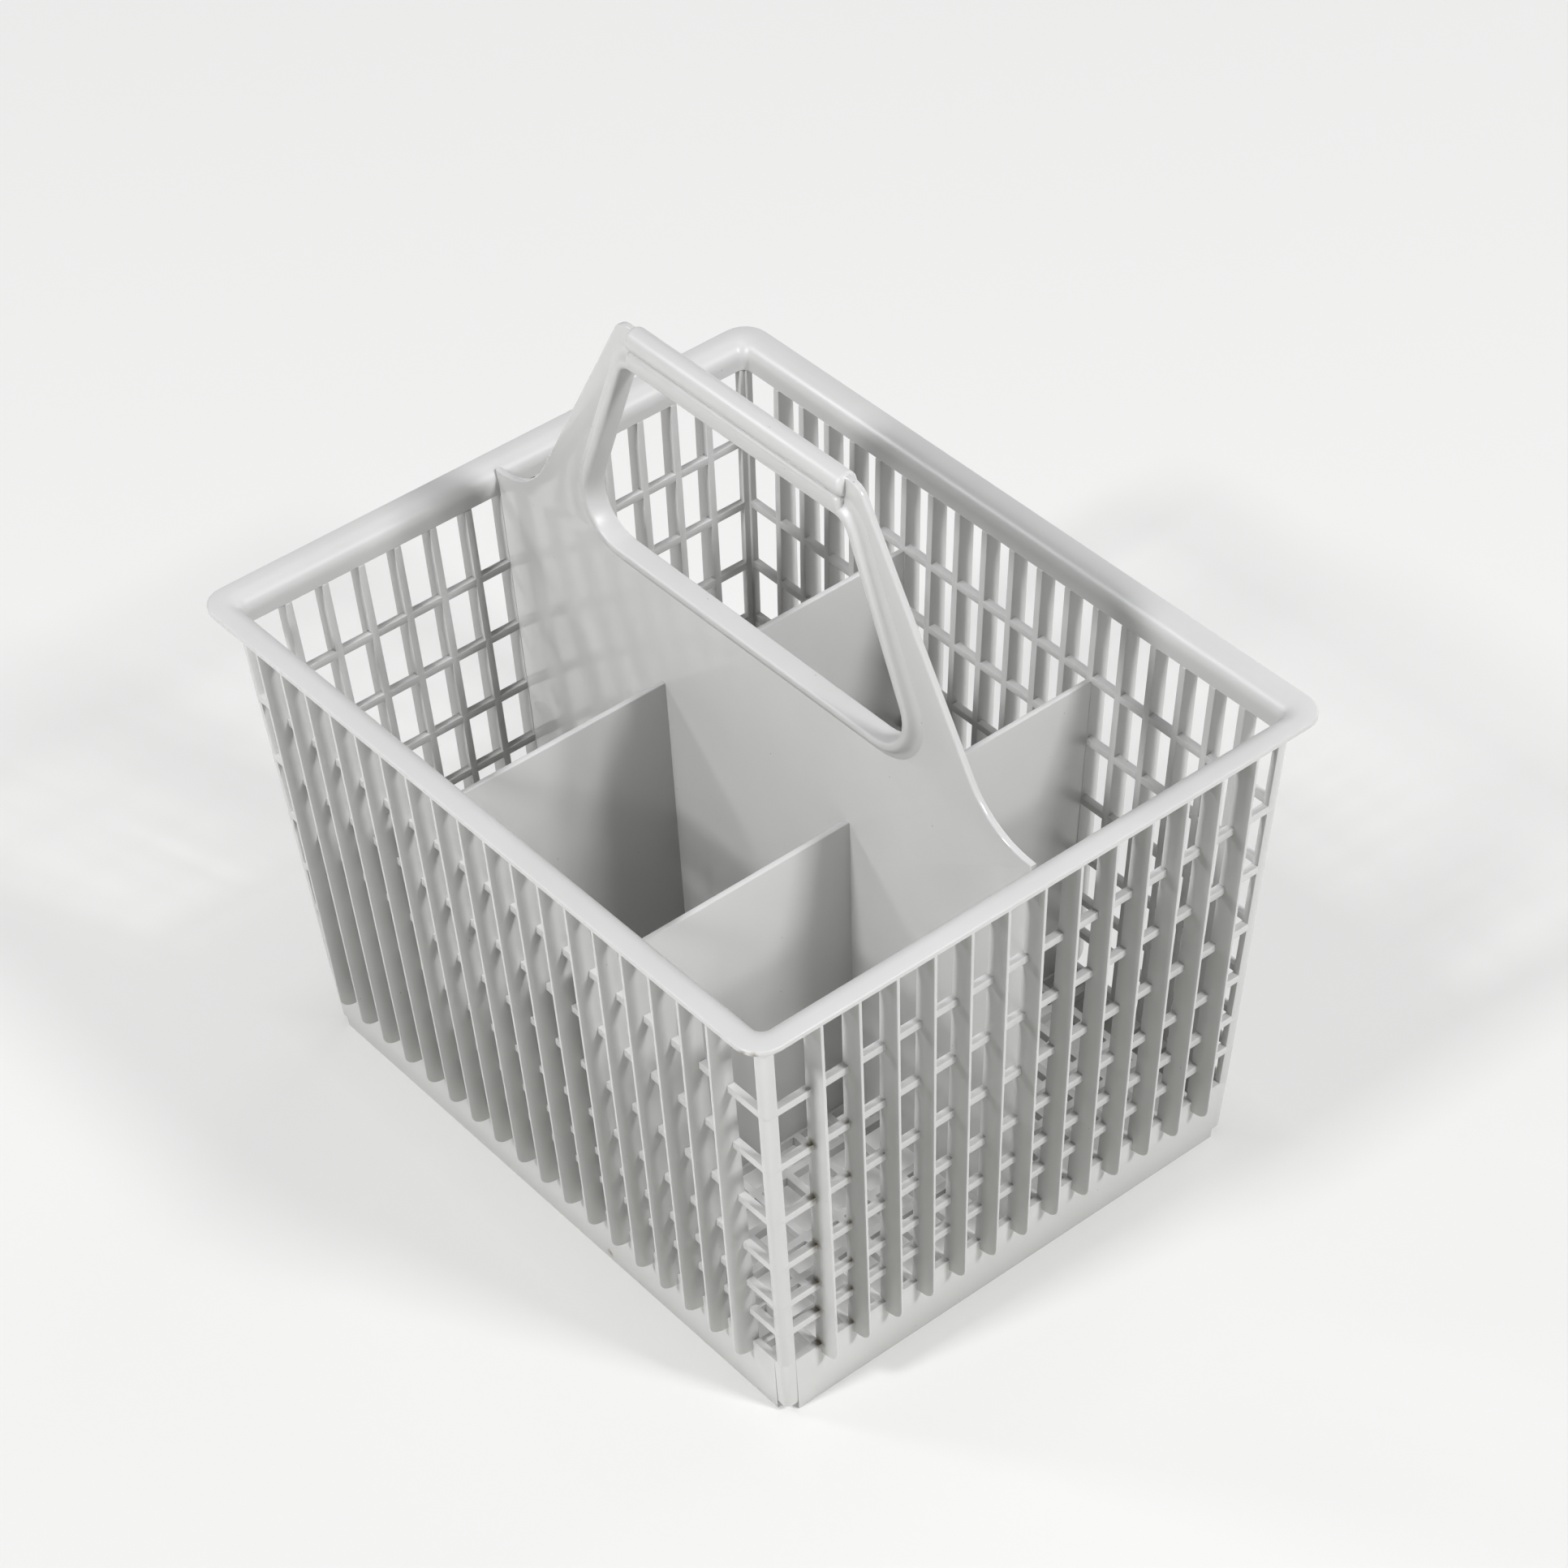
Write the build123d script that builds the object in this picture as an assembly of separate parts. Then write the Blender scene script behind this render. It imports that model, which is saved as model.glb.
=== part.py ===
"""Dishwasher cutlery basket, moulded in one piece from pale grey plastic.

Millimetres.  Origin at the bottom centre, +Z up, +X along the central wall
and its handle, +Y across the basket.  Four leaning walls hang from a flat
rim: level bars on the inside, upright fins on the outside.  A central wall
and two cross walls part the inside into six compartments over a floor
grille, and the central wall rises into the handle.
"""

import math
import os

from build123d import *

# Rim
RIM_LENGTH = 240.0      # outside, along X
RIM_WIDTH = 195.0       # outside, along Y
RIM_Z = 157.0           # top face above the table
RIM_THICK = 1.9         # thickness of the flat lip
RIM_REACH = 7.8         # from the walls' inside face to the lip's outer edge
RIM_CORNER = 8.0        # outside corner radius of the lip
RIM_EASE = 1.5          # bevel on the inner top edge
RIM_BAND = 8.5          # height of the closed band, from the rim's top

# Walls
WALL = 1.8              # thickness of the closed bands, the bars and the corner posts
WALL_DRAFT = 5.4        # lean of the inside faces, degrees
CORNER_CUT = 1.8        # bevel down each upright corner
POST_LONG = 3.5         # width of a corner post on a long wall
POST_SHORT = 5.0        # width of a corner post on a short wall
FOOT_BAND = 21.5        # height of the closed band around the foot
NOTCH_WIDTH = 4.0       # relief under each corner of the foot
NOTCH_HEIGHT = 2.8
BAR_HEIGHT = 2.4
BAR_LEVELS = (0.815, 0.642, 0.472, 0.319, 0.193, 0.098)  # tops, up the open height

# Fins, which fan out from the foot to the rim
LONG_FIN_COUNT = 18
SHORT_FIN_COUNT = 13
FIN_END_RIM = 15.2      # from a wall's inside corner to its last fin, at the rim
FIN_END_FOOT = 9.0      # the same at the fins' lower end
FIN_LAP = 4.2           # how far the fins reach down over the foot band
FIN_THICK = 2.3         # where a fin meets the bars
FIN_TAPER = 0.26        # thickness lost per millimetre of reach
FIN_INSET = 3.3         # outer edge inside the lip's edge, at the lip
FIN_DRAFT = 4.5         # lean of the outer edges, degrees
FIN_ROUND = 3.6         # rounding of the lower outer corner

# Floor grille: bars along X lie on bars along Y
FLOOR_DROP = 2.0        # floor's top below the foot band's top
FLOOR_BAR_WIDTH = 3.0
FLOOR_BAR_HEIGHT = 1.5
FLOOR_CROSS_BARS = 7    # bars along Y

# Central wall and cross walls
PARTITION = 2.0         # thickness
DIVIDER_DROP = 33.0     # top of the cross walls below the rim
DIVIDER_STEP = 3.5      # fin pitches from the middle to a cross wall
ROOT = 0.3              # how far an end is set into what carries it

# Handle
HANDLE_RISE = 83.5      # shoulders above the rim
HANDLE_MARGIN = 15.6    # from the walls' inside face to the handle, at the rim
HANDLE_LEAN = 30.0      # slope of the outer edges, degrees from upright
HANDLE_SWEEP = 26.0     # radius of the hollow curve down to the rim
SHOULDER_ROUND = 6.0
GRIP_RADIUS = 3.6
GRIP_DROP = 3.1         # axis of the rounded grip below the shoulders
GRIP_END = 5.0          # end of the grip in from the shoulders
HOLE_DROP = 11.5        # top of the hand hole below the shoulders
HOLE_SILL = 6.7         # foot of the hand hole above the rim
ARM_TOP = 10.2          # width of the arms beside the top of the hole
ARM_FOOT = 21.5         # width of the arms beside the foot of the hole
HOLE_ROUND_TOP = 5.0
HOLE_ROUND_FOOT = 12.0
COLLAR_WIDTH = 5.0      # raised edge around the hole
COLLAR_DEPTH = 7.0      # its size through the wall
COLLAR_EASE = 2.2       # bevel from the collar down to the wall

# Worked out from the above
HALF_LENGTH = RIM_LENGTH / 2
HALF_WIDTH = RIM_WIDTH / 2
LIP_Z = RIM_Z - RIM_THICK
RIM_BAND_Z = RIM_Z - RIM_BAND
FIN_Z = FOOT_BAND - FIN_LAP
FLOOR_Z = FOOT_BAND - FLOOR_DROP
FLOOR_MID = FLOOR_Z - FLOOR_BAR_HEIGHT
FLOOR_FOOT = FLOOR_MID - FLOOR_BAR_HEIGHT
DIVIDER_Z = RIM_Z - DIVIDER_DROP
SHOULDER_Z = RIM_Z + HANDLE_RISE
WALL_SLOPE = math.tan(math.radians(WALL_DRAFT))
FIN_SLOPE = math.tan(math.radians(FIN_DRAFT))
HANDLE_SLOPE = math.tan(math.radians(HANDLE_LEAN))
NEAR = 0.01             # tolerance for picking corners and edges


def inside(half, z):
    """Distance of a wall's inside face from the middle, at height z."""
    return half - RIM_REACH - (RIM_Z - z) * WALL_SLOPE


def fin_edge(half, z):
    """Distance of the fins' outer edges from the middle, at height z."""
    return half - FIN_INSET - (LIP_Z - z) * FIN_SLOPE


def fin_pitch(half_run, count, z):
    """Pitch of the fins along a wall, at height z: it grows evenly upward."""
    at_rim = inside(half_run, LIP_Z) - FIN_END_RIM
    at_foot = inside(half_run, FIN_Z) - FIN_END_FOOT
    rise = (z - FIN_Z) / (LIP_Z - FIN_Z)
    return (at_foot + (at_rim - at_foot) * rise) * 2 / (count - 1)


def steps(count):
    """Places of a centred row, in pitches from its middle."""
    return [i - (count - 1) / 2 for i in range(count)]


def block(first, second):
    """Flat-sided solid between two outlines with the same number of corners."""
    faces = [Face(Wire.make_polygon(first)), Face(Wire.make_polygon(second))]
    for i in range(len(first)):
        edge = [first[i - 1], first[i], second[i], second[i - 1]]
        faces.append(Face(Wire.make_polygon(edge)))
    return Solid(Shell(faces))


def wall_outline(z, grow):
    """Outline of the walls at height z with bevelled corners, grown outward."""
    x = inside(HALF_LENGTH, z) + grow
    y = inside(HALF_WIDTH, z) + grow
    right = [(x, CORNER_CUT - y), (x, y - CORNER_CUT), (x - CORNER_CUT, y)]
    left = [(-px, -py) for px, py in right]
    return [(px, py, z) for px, py in right + [(CORNER_CUT - x, y)] + left + [(x - CORNER_CUT, -y)]]


def filled(z0, z1, grow=0.0):
    """Solid that fills the walls between two heights."""
    return block(wall_outline(z0, grow), wall_outline(z1, grow))


def ring(z0, z1):
    """Closed ring of wall between two heights."""
    return filled(z0, z1, WALL) - filled(z0, z1)


def rim():
    """Flat lip with rounded corners over a closed band."""
    plate = RectangleRounded(RIM_LENGTH, RIM_WIDTH, RIM_CORNER)
    lip = extrude(Pos(0, 0, LIP_Z) * plate, RIM_THICK) - filled(LIP_Z, RIM_Z)
    ease_top = [(x, y, RIM_Z) for x, y, _ in wall_outline(RIM_Z, RIM_EASE)]
    ease = block(wall_outline(RIM_Z - RIM_EASE, 0.0), ease_top)
    return lip + ring(RIM_BAND_Z, RIM_Z) - ease


def foot():
    """Closed band around the foot, relieved under its four corners."""
    band = ring(0.0, FOOT_BAND)
    x = inside(HALF_LENGTH, 0.0) + WALL
    y = inside(HALF_WIDTH, 0.0) + WALL
    relief = Box(2 * NOTCH_WIDTH, 2 * NOTCH_WIDTH, 2 * NOTCH_HEIGHT)
    return band - [Pos(px, py, 0) * relief for px in (-x, x) for py in (-y, y)]


def bars():
    """Level bars around the inside of the walls."""
    open_height = RIM_BAND_Z - FOOT_BAND
    tops = [FOOT_BAND + level * open_height for level in BAR_LEVELS]
    return [ring(top - BAR_HEIGHT, top) for top in tops]


def post(side_x, side_y):
    """Upright corner strip between the foot band and the rim band."""
    outlines = []
    for z in (FOOT_BAND, RIM_BAND_Z):
        x = inside(HALF_LENGTH, z) + WALL
        y = inside(HALF_WIDTH, z) + WALL
        xs = (x - POST_LONG, x)
        ys = (y - POST_SHORT, y)
        corners = [(xs[0], ys[0]), (xs[1], ys[0]), (xs[1], ys[1]), (xs[0], ys[1])]
        outlines.append([(side_x * px, side_y * py, z) for px, py in corners])
    return ring(FOOT_BAND, RIM_BAND_Z) & block(*outlines)


def fin(half, half_run, count, step, place):
    """One upright fin on the bars: thin outward, rounded at its lower corner."""
    top = LIP_Z + ROOT
    bow = FIN_ROUND * (1 - math.sqrt(0.5))
    profile = [
        (inside(half, FIN_Z) + WALL, FIN_Z),
        (fin_edge(half, FIN_Z) - FIN_ROUND, FIN_Z),
        (fin_edge(half, FIN_Z + bow) - bow, FIN_Z + bow),
        (fin_edge(half, FIN_Z + FIN_ROUND), FIN_Z + FIN_ROUND),
        (fin_edge(half, top), top),
        (inside(half, top) + WALL, top),
    ]
    sides = []
    for sign in (-1, 1):
        corners = []
        for u, z in profile:
            thick = FIN_THICK - FIN_TAPER * (u - inside(half, z) - WALL)
            along = step * fin_pitch(half_run, count, z) + sign * thick / 2
            corners.append(place(along, u, z))
        sides.append(corners)
    return block(*sides)


def fins():
    """All fins of the two long walls and the two short walls."""
    made = []
    for side in (-1, 1):
        for step in steps(LONG_FIN_COUNT):
            made.append(fin(HALF_WIDTH, HALF_LENGTH, LONG_FIN_COUNT, step,
                            lambda s, u, z: (s, side * u, z)))
        for step in steps(SHORT_FIN_COUNT):
            made.append(fin(HALF_LENGTH, HALF_WIDTH, SHORT_FIN_COUNT, step,
                            lambda s, u, z: (side * u, s, z)))
    return made


def floor():
    """Grille: bars along X in line with the short walls' fins, on bars along Y."""
    length = 2 * inside(HALF_LENGTH, FLOOR_MID) + WALL
    width = 2 * inside(HALF_WIDTH, FLOOR_FOOT) + WALL
    pitch_y = fin_pitch(HALF_WIDTH, SHORT_FIN_COUNT, FLOOR_Z)
    pitch_x = length / FLOOR_CROSS_BARS
    upper = Box(length, FLOOR_BAR_WIDTH, FLOOR_BAR_HEIGHT)
    lower = Box(FLOOR_BAR_WIDTH, width, FLOOR_BAR_HEIGHT)
    mid = FLOOR_BAR_HEIGHT / 2
    made = [Pos(0, step * pitch_y, FLOOR_MID + mid) * upper for step in steps(SHORT_FIN_COUNT)]
    made += [Pos(step * pitch_x, 0, FLOOR_FOOT + mid) * lower for step in steps(FLOOR_CROSS_BARS)]
    return made


def divider(side):
    """Cross wall from one long wall to the other, in line with two fins."""
    outlines = []
    for z in (FLOOR_MID, DIVIDER_Z):
        x = side * DIVIDER_STEP * fin_pitch(HALF_LENGTH, LONG_FIN_COUNT, z)
        y = inside(HALF_WIDTH, z) + WALL + ROOT
        xs = (x - PARTITION / 2, x + PARTITION / 2)
        outlines.append([(xs[0], -y, z), (xs[1], -y, z), (xs[1], y, z), (xs[0], y, z)])
    return block(*outlines)


def handle_edge(z):
    """Distance of the handle's outer edge from the middle, at height z."""
    return inside(HALF_LENGTH, RIM_Z) - HANDLE_MARGIN - (z - RIM_Z) * HANDLE_SLOPE


def hole_face():
    """Face of the hand hole, wider at its foot, drawn with z as the second axis."""
    top = SHOULDER_Z - HOLE_DROP
    sill = RIM_Z + HOLE_SILL
    half_top = handle_edge(top) - ARM_TOP
    half_foot = handle_edge(sill) - ARM_FOOT
    corners = [(-half_foot, sill), (half_foot, sill), (half_top, top), (-half_top, top)]
    face = make_face(Polyline(corners, close=True))
    face = fillet(face.vertices().filter_by(lambda v: v.Y < sill + NEAR), HOLE_ROUND_FOOT)
    return fillet(face.vertices().filter_by(lambda v: v.Y > top - NEAR), HOLE_ROUND_TOP)


def plate_face():
    """Face of the central wall and its handle, drawn with z as the second axis."""
    root_foot = inside(HALF_LENGTH, FLOOR_MID) + WALL + ROOT
    root_top = inside(HALF_LENGTH, RIM_Z) + ROOT
    bend = handle_edge(RIM_Z)
    right = [(root_foot, FLOOR_MID), (root_top, RIM_Z), (bend, RIM_Z),
             (handle_edge(SHOULDER_Z), SHOULDER_Z)]
    left = [(-x, z) for x, z in reversed(right)]
    face = make_face(Polyline(right + left, close=True))
    room = (root_top - bend) / math.tan(math.radians(90 - HANDLE_LEAN) / 2)
    bends = face.vertices().filter_by(lambda v: abs(abs(v.X) - bend) < NEAR)
    face = fillet(bends, min(HANDLE_SWEEP, room - NEAR))
    return fillet(face.vertices().filter_by(lambda v: v.Y > SHOULDER_Z - NEAR), SHOULDER_ROUND)


def central_wall():
    """Central wall with its handle, grip and collared hand hole."""
    hole = hole_face()
    collar = extrude(Plane.XZ * offset(hole, COLLAR_WIDTH), COLLAR_DEPTH / 2, both=True)
    brims = collar.edges().filter_by(lambda e: abs(abs(e.center().Y) - COLLAR_DEPTH / 2) < NEAR)
    collar = chamfer(brims, COLLAR_EASE)
    grip_half = handle_edge(SHOULDER_Z) - GRIP_END
    grip = Pos(0, 0, SHOULDER_Z - GRIP_DROP) * Rot(0, 90, 0) * Cylinder(GRIP_RADIUS, 2 * grip_half)
    wall = extrude(Plane.XZ * plate_face(), PARTITION / 2, both=True) + collar + grip
    return wall - extrude(Plane.XZ * hole, COLLAR_DEPTH, both=True)


def basket():
    """Everything joined into the one moulding."""
    pieces = [rim(), central_wall(), divider(-1), divider(1)]
    pieces += bars()
    pieces += [post(side_x, side_y) for side_x in (-1, 1) for side_y in (-1, 1)]
    pieces += fins()
    pieces += floor()
    return foot().fuse(*pieces).clean()


os.makedirs("parts", exist_ok=True)
export_step(basket(), "parts/basket.step")
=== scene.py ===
# %% [markdown]
# # A cutlery basket moulded in one shot
#
# The real basket comes out of one steel mould: a flat rim, four leaning walls of fins and bars,
# a perforated floor, partitions and a handle, all the same pale grey plastic. We build each feature
# as its own closed mesh, because a mesh with one purpose is easy to read and to change. They run into
# each other where the plastic is fused, and one plastic in two finishes covers them all.
#
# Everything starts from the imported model, which gives the overall size and the frame.

import math

import bmesh
import bpy
from mathutils import Matrix, Vector


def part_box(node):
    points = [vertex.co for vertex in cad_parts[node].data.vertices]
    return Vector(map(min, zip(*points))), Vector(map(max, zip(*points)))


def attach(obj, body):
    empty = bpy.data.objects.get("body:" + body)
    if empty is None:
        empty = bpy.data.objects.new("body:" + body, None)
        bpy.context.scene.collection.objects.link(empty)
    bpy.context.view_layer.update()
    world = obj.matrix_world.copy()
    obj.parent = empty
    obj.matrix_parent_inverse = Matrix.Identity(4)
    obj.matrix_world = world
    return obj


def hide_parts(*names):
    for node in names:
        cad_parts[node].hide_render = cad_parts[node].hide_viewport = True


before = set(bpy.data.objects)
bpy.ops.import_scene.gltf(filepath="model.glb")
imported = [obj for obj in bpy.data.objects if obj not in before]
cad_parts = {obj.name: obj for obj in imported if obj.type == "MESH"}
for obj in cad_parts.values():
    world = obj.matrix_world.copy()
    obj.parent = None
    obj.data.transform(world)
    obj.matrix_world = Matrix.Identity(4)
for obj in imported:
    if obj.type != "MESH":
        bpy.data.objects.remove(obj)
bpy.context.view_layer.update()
low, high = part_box("basket")
print("frame:", [round(v, 4) for v in low], [round(v, 4) for v in high])

# %% [markdown]
# ## Sizes
#
# A moulding is drawn in millimetres, and Blender works in metres. We keep every size in millimetres
# and turn it into metres where a mesh is made. The overall length, width and height are read from the
# frame, so the overall size can't drift away from the construction. The walls lean a little less here than
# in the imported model, because a later comparison with the photograph gave a better value.

# %% Sizes of the basket, in millimetres
MM = 0.001
HALF_LENGTH = high[0] / MM
HALF_WIDTH = high[1] / MM
TOP_Z = high[2] / MM

RIM_Z = 157.0
RIM_THICK = 1.9
RIM_REACH = 8.8
RIM_CORNER = 8.0
RIM_INNER_CORNER = 2.5
RIM_INNER_ROUND = 5.4
RIM_FALL = 0.12
LIP_EDGE = 0.5
RIM_BAND = 8.5
WALL = 2.2
WALL_SLOPE = math.tan(math.radians(3.9))
POST_LONG = 3.1
POST_SHORT = 4.2
POST_ROUND = 2.0
FOOT_BAND = 21.5
NOTCH_WIDTH = 4.0
NOTCH_HEIGHT = 2.8
BAR_HEIGHT = 2.4
BAR_LEVELS = (0.819, 0.649, 0.482, 0.331, 0.207, 0.113)

LONG_FINS = 18
SHORT_FINS = 13
FIN_END_RIM = 14.25
FIN_END_FOOT = 11.7
FIN_LAP = 4.2
FIN_THICK = 2.4
FIN_TAPER = 0.22
FIN_INSET = 2.85
FIN_SLOPE = math.tan(math.radians(3.15))
FIN_ROUND = 3.6
FLOOR_DROP = 2.0        # from the top of the foot band down to the floor

LIP_Z = RIM_Z - RIM_THICK
RIM_BAND_Z = RIM_Z - RIM_BAND
FIN_Z = FOOT_BAND - FIN_LAP
FLOOR_Z = FOOT_BAND - FLOOR_DROP


def inside(half, z):
    """Distance of a wall's inside face from the middle, at height z."""
    return half - RIM_REACH - (RIM_Z - z) * WALL_SLOPE


def fin_edge(half, z):
    """Distance of the fins' outer edges from the middle, at height z."""
    return half - FIN_INSET - (LIP_Z - z) * FIN_SLOPE


def fin_pitch(half_run, count, z):
    """Pitch of the fins along a wall, at height z."""
    at_rim = inside(half_run, LIP_Z) - FIN_END_RIM
    at_foot = inside(half_run, FIN_Z) - FIN_END_FOOT
    rise = (z - FIN_Z) / (LIP_Z - FIN_Z)
    return (at_foot + (at_rim - at_foot) * rise) * 2 / (count - 1)


print("rim", 2 * HALF_LENGTH, "by", 2 * HALF_WIDTH, "mm, top at", round(TOP_Z, 1), "mm")

# %% [markdown]
# ## The plastic
#
# The basket is moulded polypropylene: a milky grey with a satin skin. Satin means that a highlight spreads
# into a soft band along the rim and the grip. The central wall came off a polished face of the mould, so it
# shows a faint reflection of the lattice. That is one plastic with two finishes, and so one function makes
# both, with another range of roughness. A basket that has been used also has tiny dark specks, a faint
# cloudiness and brown residue where fins meet bars.
#
# Colours are written as sRGB hex, as one would pick them from a screen. Shaders need linear light, so
# one function converts them. One more small function adds a node, sets its values and links its inputs,
# and three short ones call it for sums, blends and ranges.

# %% Helpers for node trees


def linear(code):
    """sRGB hex to linear red, green, blue and alpha."""
    parts = [int(code[i:i + 2], 16) / 255 for i in (1, 3, 5)]
    return [v / 12.92 if v <= 0.04045 else ((v + 0.055) / 1.055) ** 2.4 for v in parts] + [1.0]


def add(tree, kind, inputs=None, **settings):
    """Add one node. An input is a value, or a socket of another node to link."""
    made = tree.nodes.new(kind)
    for name, value in settings.items():
        setattr(made, name, value)
    for key, value in (inputs or {}).items():
        if isinstance(value, bpy.types.NodeSocket):
            tree.links.new(value, made.inputs[key])
        else:
            made.inputs[key].default_value = value
    return made


def calc(tree, operation, *values):
    """Result of one maths node."""
    return add(tree, "ShaderNodeMath", dict(enumerate(values)), operation=operation).outputs[0]


def blend(tree, share, first, second):
    """Colour that goes from the first to the second as the share goes from 0 to 1."""
    made = add(tree, "ShaderNodeMix", {"Factor": share, "A": first, "B": second}, data_type="RGBA")
    return made.outputs["Result"]


def remap(tree, value, old_range, new_range):
    """Value carried from one range to another, and held at the ends."""
    made = add(tree, "ShaderNodeMapRange", {"Value": value,
                                            "From Min": old_range[0], "From Max": old_range[1],
                                            "To Min": new_range[0], "To Max": new_range[1]})
    return made.outputs["Result"]


# %% Where the residue sits
MARKED_FINS = ((-6, 2.3), (-5, 1.3))    # place in the right wall's row, and radius of its marks, mm
SINGLE_MARKS = (        # centre and radius, mm: two at the rim's corner, one at the foot
    ((114.3, -97.0, 155.5), 1.2), ((117.1, -95.5, 155.5), 1.4), ((26.3, -80.4, 2.7), 1.6))
MARK_DEPTH = 0.8        # how far out in the wall a mark lies, as a share of the wall
MARK_LIFT = 0.3         # and how far above the bar
OPEN_HEIGHT = RIM_BAND_Z - FOOT_BAND
BAR_TOPS = [FOOT_BAND + level * OPEN_HEIGHT for level in BAR_LEVELS]
residue = []            # centre and radius of each brown mark, mm
for step, radius in MARKED_FINS:
    for z in BAR_TOPS[1:] + [FOOT_BAND]:
        along = step * fin_pitch(HALF_WIDTH, SHORT_FINS, z) - FIN_THICK / 2
        outward = inside(HALF_LENGTH, z) + MARK_DEPTH * WALL
        residue.append(((outward, along, z + MARK_LIFT), radius))
residue += SINGLE_MARKS
print("brown marks:", len(residue))

# %% Moulded polypropylene
SPECK_PITCH = 9.0       # average distance between specks, mm
SPECK_SIZE = 0.28       # radius of a speck, mm
CLOUD_SIZE = 45.0       # width of a cloudy patch, mm
GRAIN_SIZE = 0.9        # fine skin of the mould, drawn coarser than it is so that it shows, mm
CRUMB_SIZE = 1.1        # ragged edge of the brown marks, mm
PLASTIC_DARK, PLASTIC_PALE = "#B2B2AF", "#BBBBB9"
SPECK_COLOUR, MARK_COLOUR = "#6E6A60", "#6F664F"
SPECK_CORE = 0.6        # full-strength part of a speck's radius
SPECK_STRENGTH = 0.55
MARK_REACH = (0.55, 1.5)    # ragged distance over which a mark fades out, in its radii
MARK_STRENGTH = 0.85
MARK_DULLING = 0.4      # roughness that a mark adds
SKIN_STRENGTH = 0.035
SKIN_DEPTH = 0.2        # mm
CLOUD_RANGE = (0.3, 0.7)    # values that the cloud noise mostly takes
FAR_AWAY = 10.0         # more radii from a mark than any fade reaches
PLASTIC_IOR = 1.49


def per_mm(size):
    """Texture scale for a pattern of this size in millimetres."""
    return 1.0 / (size * MM)


def polypropylene(name, smoothest, roughest):
    """One finish of the plastic, with its range of roughness."""
    made = bpy.data.materials.new(name)
    made.use_nodes = True
    tree = made.node_tree
    tree.nodes.clear()
    place = add(tree, "ShaderNodeTexCoord").outputs["Object"]

    def noise(size, detail):
        """Noise in patches of a size in millimetres."""
        grain = add(tree, "ShaderNodeTexNoise", {"Vector": place, "Scale": per_mm(size), "Detail": detail})
        return grain.outputs["Fac"]

    cloud = noise(CLOUD_SIZE, 3.0)
    body = blend(tree, cloud, linear(PLASTIC_DARK), linear(PLASTIC_PALE))
    specks = add(tree, "ShaderNodeTexVoronoi", {"Vector": place, "Scale": per_mm(SPECK_PITCH),
                                                "Randomness": 1.0})
    speck_edge = SPECK_SIZE / SPECK_PITCH
    speck_mask = remap(tree, specks.outputs["Distance"], (speck_edge * SPECK_CORE, speck_edge),
                       (SPECK_STRENGTH, 0.0))
    speckled = blend(tree, speck_mask, body, linear(SPECK_COLOUR))
    nearest = FAR_AWAY      # distance to the nearest brown mark, in its radii
    for centre, radius in residue:
        away = add(tree, "ShaderNodeVectorMath", {0: place, 1: Vector(centre) * MM}, operation="DISTANCE")
        radii = calc(tree, "MULTIPLY", away.outputs["Value"], per_mm(radius))
        nearest = calc(tree, "MINIMUM", radii, nearest)
    ragged = calc(tree, "MULTIPLY_ADD", noise(CRUMB_SIZE, 3.0), 1.0, nearest)
    mark_mask = remap(tree, ragged, MARK_REACH, (MARK_STRENGTH, 0.0))
    used = blend(tree, mark_mask, speckled, linear(MARK_COLOUR))
    skin = add(tree, "ShaderNodeBump", {"Height": noise(GRAIN_SIZE, 2.0), "Strength": SKIN_STRENGTH,
                                        "Distance": SKIN_DEPTH * MM})
    finish = remap(tree, cloud, CLOUD_RANGE, (smoothest, roughest))
    shader = add(tree, "ShaderNodeBsdfPrincipled", {
        "Base Color": used, "Roughness": calc(tree, "MULTIPLY_ADD", mark_mask, MARK_DULLING, finish),
        "Normal": skin.outputs["Normal"], "IOR": PLASTIC_IOR})
    add(tree, "ShaderNodeOutputMaterial", {"Surface": shader.outputs["BSDF"]})
    print("material:", name, "with", len(tree.nodes), "nodes")
    return made


plastic = polypropylene("satin_polypropylene", 0.33, 0.41)
polished = polypropylene("polished_polypropylene", 0.10, 0.14)

# %% [markdown]
# ## From points to pieces
#
# Every piece below ends the same way: a closed mesh in metres, normals outward, soft edges, smooth
# shading, and a ride on the basket's one body. A bevel of a few tenths of a millimetre matters more than
# it sounds, because real moulded edges catch a thin line of light and a perfectly sharp edge can't.

# %% Helpers for meshes
DOUBLE = 0.001          # points closer than this are one, mm
BEVEL_ANGLE = math.radians(40)
SHARP_ANGLE = math.radians(38)
WIDE_BEVEL = 1.0        # from this width on a bevel gets more segments, mm


def write_mesh(shape, mesh, double=DOUBLE):
    """Merge doubles, turn normals outward and write the shape into a mesh."""
    bmesh.ops.remove_doubles(shape, verts=shape.verts, dist=double * MM)
    bmesh.ops.recalc_face_normals(shape, faces=shape.faces)
    shape.to_mesh(mesh)
    shape.free()


def make_mesh(name, points, faces):
    """Closed mesh from points in millimetres."""
    mesh = bpy.data.meshes.new(name)
    shape = bmesh.new()
    made = [shape.verts.new(Vector(p) * MM) for p in points]
    for face in faces:
        shape.faces.new([made[i] for i in face])
    write_mesh(shape, mesh)
    return mesh


def loft(rings, closed):
    """Points and faces of a skin over rings with the same number of points."""
    count = len(rings[0])
    points = [p for ring in rings for p in ring]
    faces = []
    for k in range(len(rings) if closed else len(rings) - 1):
        first, second = k * count, (k + 1) % len(rings) * count
        for i in range(count):
            j = (i + 1) % count
            faces.append((first + i, first + j, second + j, second + i))
    if not closed:
        faces.append(tuple(reversed(range(count))))
        faces.append(tuple(range((len(rings) - 1) * count, len(rings) * count)))
    return points, faces


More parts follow.
